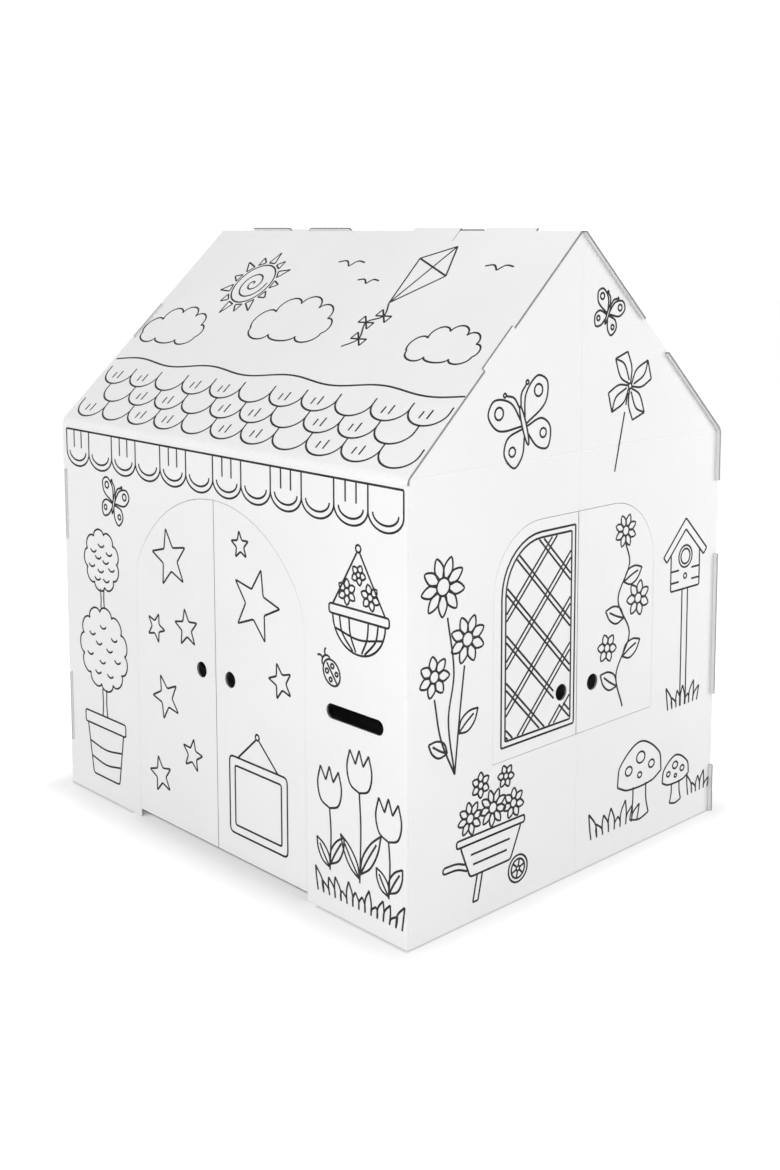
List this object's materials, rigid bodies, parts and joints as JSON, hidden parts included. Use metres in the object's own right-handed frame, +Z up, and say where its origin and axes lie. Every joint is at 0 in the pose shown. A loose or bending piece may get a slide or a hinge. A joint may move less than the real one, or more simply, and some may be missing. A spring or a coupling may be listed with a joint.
{
  "type": "cardboard fort",
  "caption": "White corrugated card play fort of folded sheets locked together by tabs, with arched doors, a mail slot and shuttered gable windows that swing open on creases.",
  "frame": {"origin": "on the floor, under the middle of the ridge", "axes": "+Z up, +X along the ridge towards the gable beside the mail slot, -Y out of the front wall with the doors"},
  "size_m": [0.818, 0.679, 0.9274],
  "materials": {
    "white_card": "matt white liner on corrugated board",
    "printed_line": "matt black printed line",
    "cut_edge": "die-cut edge of corrugated board"
  },
  "bodies": {
    "house": {"front_half": "white_card", "rear_half": "white_card"},
    "left_door": {"left_door": "white_card"},
    "right_door": {"right_door": "white_card"},
    "right_front_shutter": {"right_front_shutter": "white_card"},
    "right_rear_shutter": {"right_rear_shutter": "white_card"},
    "left_front_shutter": {"left_front_shutter": "white_card"},
    "left_rear_shutter": {"left_rear_shutter": "white_card"}
  },
  "joints": [
    {"name": "left_door_swing", "type": "hinge", "parent": "house", "child": "left_door", "pos_m": [-0.20285, -0.3365, 0.2], "axis": [0, 0, -1], "range_deg": [0, 165]},
    {"name": "right_door_swing", "type": "hinge", "parent": "house", "child": "right_door", "pos_m": [0.20285, -0.3365, 0.2], "axis": [0, 0, 1], "range_deg": [0, 165]},
    {"name": "right_front_shutter_swing", "type": "hinge", "parent": "house", "child": "right_front_shutter", "pos_m": [0.403, -0.17585, 0.3], "axis": [0, 0, -1], "range_deg": [0, 165]},
    {"name": "right_rear_shutter_swing", "type": "hinge", "parent": "house", "child": "right_rear_shutter", "pos_m": [0.403, 0.17585, 0.3], "axis": [0, 0, 1], "range_deg": [0, 165]},
    {"name": "left_front_shutter_swing", "type": "hinge", "parent": "house", "child": "left_front_shutter", "pos_m": [-0.403, -0.17585, 0.3], "axis": [0, 0, 1], "range_deg": [0, 165]},
    {"name": "left_rear_shutter_swing", "type": "hinge", "parent": "house", "child": "left_rear_shutter", "pos_m": [-0.403, 0.17585, 0.3], "axis": [0, 0, -1], "range_deg": [0, 165]}
  ]
}
